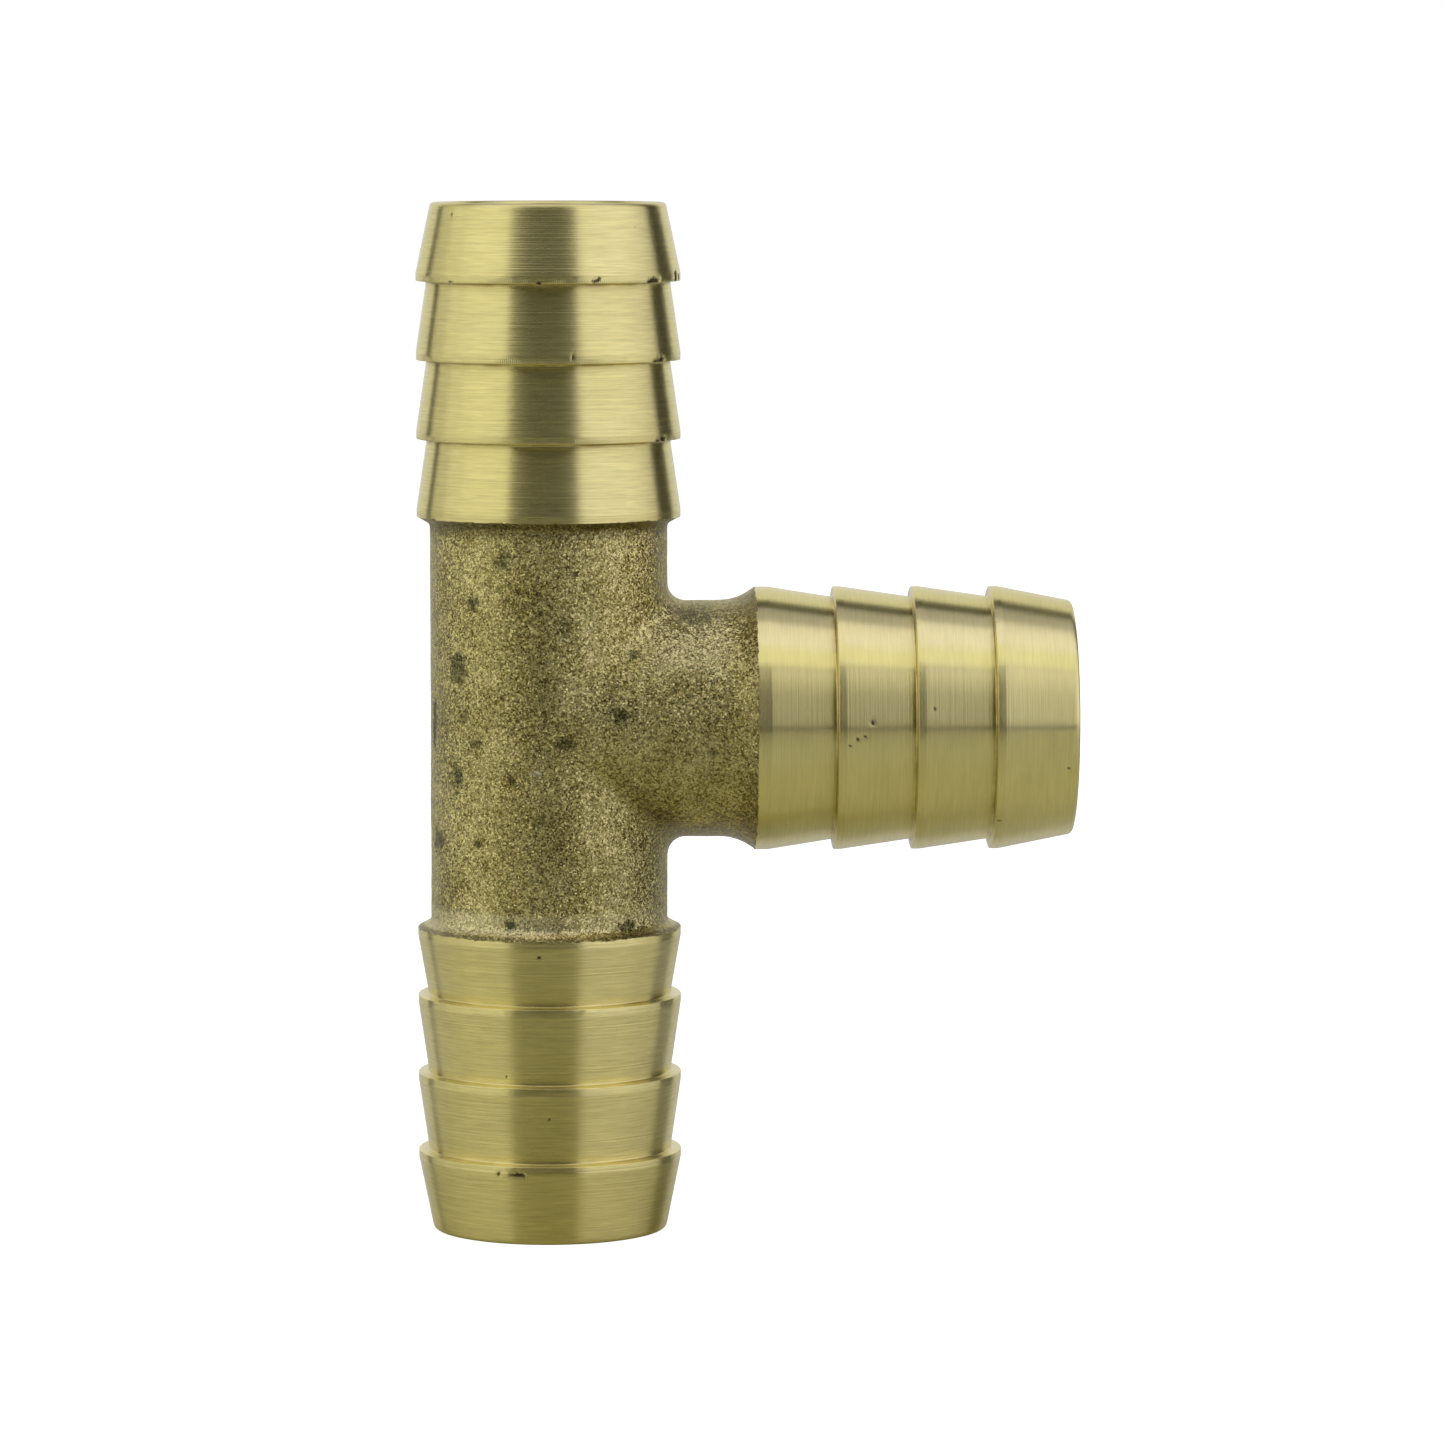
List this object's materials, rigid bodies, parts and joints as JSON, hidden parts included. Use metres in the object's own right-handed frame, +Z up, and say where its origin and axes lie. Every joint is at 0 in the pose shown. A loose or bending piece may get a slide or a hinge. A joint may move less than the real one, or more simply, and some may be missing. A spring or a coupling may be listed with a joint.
{
  "type": "barbed tee connector",
  "caption": "Tee fitting that joins hoses: a hollow cast brass body with a barbed tail at each end of the run and on the side branch.",
  "frame": {"origin": "the point where the axes of the run and the branch cross", "axes": "+Z up along the run, +X out along the branch, +Y away from the viewer who sees the branch on the right"},
  "size_m": [0.0509, 0.0204, 0.08],
  "materials": {
    "cast_brass": "sand-cast skin, matt with fine bright grains",
    "turned_brass": "bright turned, with fine tool marks around it"
  },
  "bodies": {
    "root": {"tee_body": "cast_brass", "upper_hose_tail": "turned_brass", "lower_hose_tail": "turned_brass", "branch_hose_tail": "turned_brass"}
  },
  "joints": []
}
